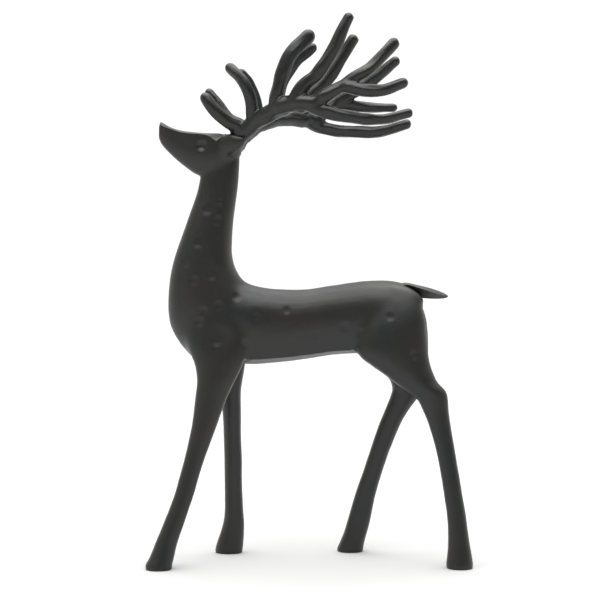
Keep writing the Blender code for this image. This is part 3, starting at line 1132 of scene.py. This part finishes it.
@dataclass(frozen=True)
class Iron:
    """Dark satin iron, a little greener and browner from place to place."""

    name: str
    green: tuple[float, float, float]
    brown: tuple[float, float, float]
    roughness: float
    roughness_spread: float = 0.08
    patch_scale: float = 22
    patch_detail: float = 3
    patch_range: tuple[float, float] = (0.35, 0.65)  # of the noise, from all green to all brown
    grit_scale: float = 700
    grit_detail: float = 4
    bump_strength: float = 0.25
    bump_height: float = 0.0003  # in metres

    def build(self) -> bpy.types.Material:
        """Makes the material.

        Returns:
            The material.
        """
        material = bpy.data.materials.new(self.name)
        material.use_nodes = True
        nodes, links = material.node_tree.nodes, material.node_tree.links
        shader = nodes["Principled BSDF"]
        shader.inputs["Metallic"].default_value = 0.0
        shader.inputs["Specular IOR Level"].default_value = 0.5
        place = nodes.new("ShaderNodeTexCoord")
        patch = {"Scale": self.patch_scale, "Detail": self.patch_detail}
        patches = add_node(nodes, "ShaderNodeTexNoise", patch)
        links.new(place.outputs["Object"], patches.inputs["Vector"])
        tint = nodes.new("ShaderNodeMix")
        tint.data_type = "RGBA"
        tint.inputs["A"].default_value = (*self.green, 1)
        tint.inputs["B"].default_value = (*self.brown, 1)
        least, most = self.patch_range
        spread = add_node(nodes, "ShaderNodeMapRange", {"From Min": least, "From Max": most})
        links.new(patches.outputs["Fac"], spread.inputs["Value"])
        links.new(spread.outputs["Result"], tint.inputs["Factor"])
        links.new(tint.outputs["Result"], shader.inputs["Base Color"])
        grit = add_node(nodes, "ShaderNodeTexNoise", {"Scale": self.grit_scale, "Detail": self.grit_detail})
        links.new(place.outputs["Object"], grit.inputs["Vector"])
        low, high = self.roughness - self.roughness_spread, self.roughness + self.roughness_spread
        rough = add_node(nodes, "ShaderNodeMapRange", {"To Min": low, "To Max": high})
        links.new(grit.outputs["Fac"], rough.inputs["Value"])
        links.new(rough.outputs["Result"], shader.inputs["Roughness"])
        relief = {"Strength": self.bump_strength, "Distance": self.bump_height}
        bump = add_node(nodes, "ShaderNodeBump", relief)
        links.new(grit.outputs["Fac"], bump.inputs["Height"])
        links.new(bump.outputs["Normal"], shader.inputs["Normal"])
        return material


SATIN_IRON = Iron("satin_iron", (0.0090, 0.0115, 0.0107), (0.0135, 0.0124, 0.0103), 0.41)
BARK_IRON = Iron("bark_iron", (0.0060, 0.0092, 0.0082), (0.0098, 0.0088, 0.0072), 0.38)


@dataclass(frozen=True)
class Glow:
    """A soft patch of light in the surroundings."""

    toward: tuple[float, float, float]  # its middle, as seen from the object
    edge: float  # cosine of the angle from its middle to where it starts
    full: float  # the same to where it is at its brightest
    strength: float
    tint: tuple[float, float, float] = (1, 1, 1)


@dataclass
class Studio:
    """A white studio: floor, light from above, behind and the sides, and the camera."""

    focal_share: float = 1400 / 600  # focal length over picture width
    sensor_width: float = 36  # in millimetres
    distance: float = 1.244
    eye_level: float = 0.2401
    aim_level: float = 0.2310
    middle: float = -0.0082
    glows: tuple[Glow, ...] = (
        Glow((0, 1, 0), -0.35, 0.7, 0.95),
        Glow((0, -0.15, 0.99), 0.6, 0.95, 4.2),
        Glow((-1, -0.45, 0), 0.6, 1.0, 0.55, (1, 0.97, 0.82)),
        Glow((1, 0.1, 0), 0.6, 1.0, 0.4, (1, 0.98, 0.88)),
    )
    backdrop: float = 1.05  # brightness of what the camera sees behind the object
    lamp_size: tuple[float, float] = (2.4, 2.0)
    lamp_place: tuple[float, float, float] = (0, 0.25, 1.9)
    lamp_power: float = 9
    floor_reach: float = 40.0  # from its middle to its edges
    floor_tiles: int = 8
    floor_drop: float = 0.0002  # under the hooves
    floor_tone: float = 0.52
    floor_roughness: float = 0.9
    floor_gloss: float = 0.1

    def build_floor(self) -> None:
        """Makes the pale floor."""
        bm = bmesh.new()
        tiles = self.floor_tiles
        bmesh.ops.create_grid(bm, x_segments=tiles, y_segments=tiles, size=self.floor_reach)
        bmesh.ops.translate(bm, verts=bm.verts, vec=(0, 0, -self.floor_drop))
        mesh = bpy.data.meshes.new("floor")
        bm.to_mesh(mesh)
        bm.free()
        material = bpy.data.materials.new("pale_floor")
        material.use_nodes = True
        shader = material.node_tree.nodes["Principled BSDF"]
        shader.inputs["Base Color"].default_value = (self.floor_tone, self.floor_tone, self.floor_tone, 1)
        shader.inputs["Roughness"].default_value = self.floor_roughness
        shader.inputs["Specular IOR Level"].default_value = self.floor_gloss
        mesh.materials.append(material)
        floor = bpy.data.objects.new("floor", mesh)
        bpy.context.scene.collection.objects.link(floor)

    def build_world(self) -> None:
        """Makes the surroundings: white to the camera, and the glows to everything else."""
        world = bpy.data.worlds.new("studio")
        bpy.context.scene.world = world
        world.use_nodes = True
        nodes, links = world.node_tree.nodes, world.node_tree.links
        nodes.clear()
        out = nodes.new("ShaderNodeOutputWorld")
        white = add_node(nodes, "ShaderNodeBackground", {"Color": (1, 1, 1, 1), "Strength": self.backdrop})
        place = nodes.new("ShaderNodeTexCoord")
        lit = None
        for glow in self.glows:
            toward = nodes.new("ShaderNodeVectorMath")
            toward.operation = "DOT_PRODUCT"
            toward.inputs[1].default_value = Vector(glow.toward).normalized()
            links.new(place.outputs["Generated"], toward.inputs[0])
            span = {"From Min": glow.edge, "From Max": glow.full, "To Max": glow.strength}
            spread = add_node(nodes, "ShaderNodeMapRange", span)
            spread.interpolation_type = "SMOOTHSTEP"
            links.new(toward.outputs["Value"], spread.inputs["Value"])
            source = add_node(nodes, "ShaderNodeBackground", {"Color": (*glow.tint, 1)})
            links.new(spread.outputs["Result"], source.inputs["Strength"])
            if lit is None:
                lit = source
                continue
            total = nodes.new("ShaderNodeAddShader")
            links.new(lit.outputs[0], total.inputs[0])
            links.new(source.outputs["Background"], total.inputs[1])
            lit = total
        pick = nodes.new("ShaderNodeMixShader")
        path = nodes.new("ShaderNodeLightPath")
        links.new(path.outputs["Is Camera Ray"], pick.inputs["Fac"])
        links.new(lit.outputs[0], pick.inputs[1])
        links.new(white.outputs["Background"], pick.inputs[2])
        links.new(pick.outputs["Shader"], out.inputs["Surface"])

    def build_lights(self) -> None:
        """Makes the broad light overhead."""
        light = bpy.data.lights.new("overhead", "AREA")
        light.shape = "RECTANGLE"
        light.size, light.size_y = self.lamp_size
        light.energy = self.lamp_power
        lamp = bpy.data.objects.new("overhead", light)
        lamp.location = self.lamp_place
        bpy.context.scene.collection.objects.link(lamp)

    def build_camera(self) -> None:
        """Makes the camera of the photograph."""
        camera = bpy.data.cameras.new("camera")
        camera.sensor_fit = "HORIZONTAL"
        camera.sensor_width = self.sensor_width
        camera.lens = self.sensor_width * self.focal_share
        obj = bpy.data.objects.new("camera", camera)
        obj.location = (self.middle, -self.distance, self.eye_level)
        aim = Vector((self.middle, 0, self.aim_level)) - obj.location
        obj.rotation_euler = aim.to_track_quat("-Z", "Y").to_euler()
        bpy.context.scene.collection.objects.link(obj)
        bpy.context.scene.camera = obj

    def build(self) -> None:
        """Makes the whole studio."""
        self.build_floor()
        self.build_world()
        self.build_lights()
        self.build_camera()
        settings = bpy.context.scene.view_settings
        settings.view_transform = "Standard"
        settings.look = "None"


def dress(piece: bpy.types.Object, node: str, material: bpy.types.Material) -> None:
    """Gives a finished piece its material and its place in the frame.

    Args:
        piece: The finished object.
        node: The solid that it stands for.
        material: Its finish.
    """
    piece.data.materials.clear()
    piece.data.materials.append(material)
    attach(piece, "root")
    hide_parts(node)
    LOG.info("%s: %d faces", piece.name, len(piece.data.polygons))


def main() -> None:
    """Builds the castings and the studio, in order."""
    dress(StagBody().build(), "stag_body", SATIN_IRON.build())
    for antler in (LEFT_ANTLER, RIGHT_ANTLER):
        node = f"antler_{antler.side.name.lower()}"
        dress(antler.build(), node, BARK_IRON.build())
    Studio().build()


if __name__ == "__main__":
    main()
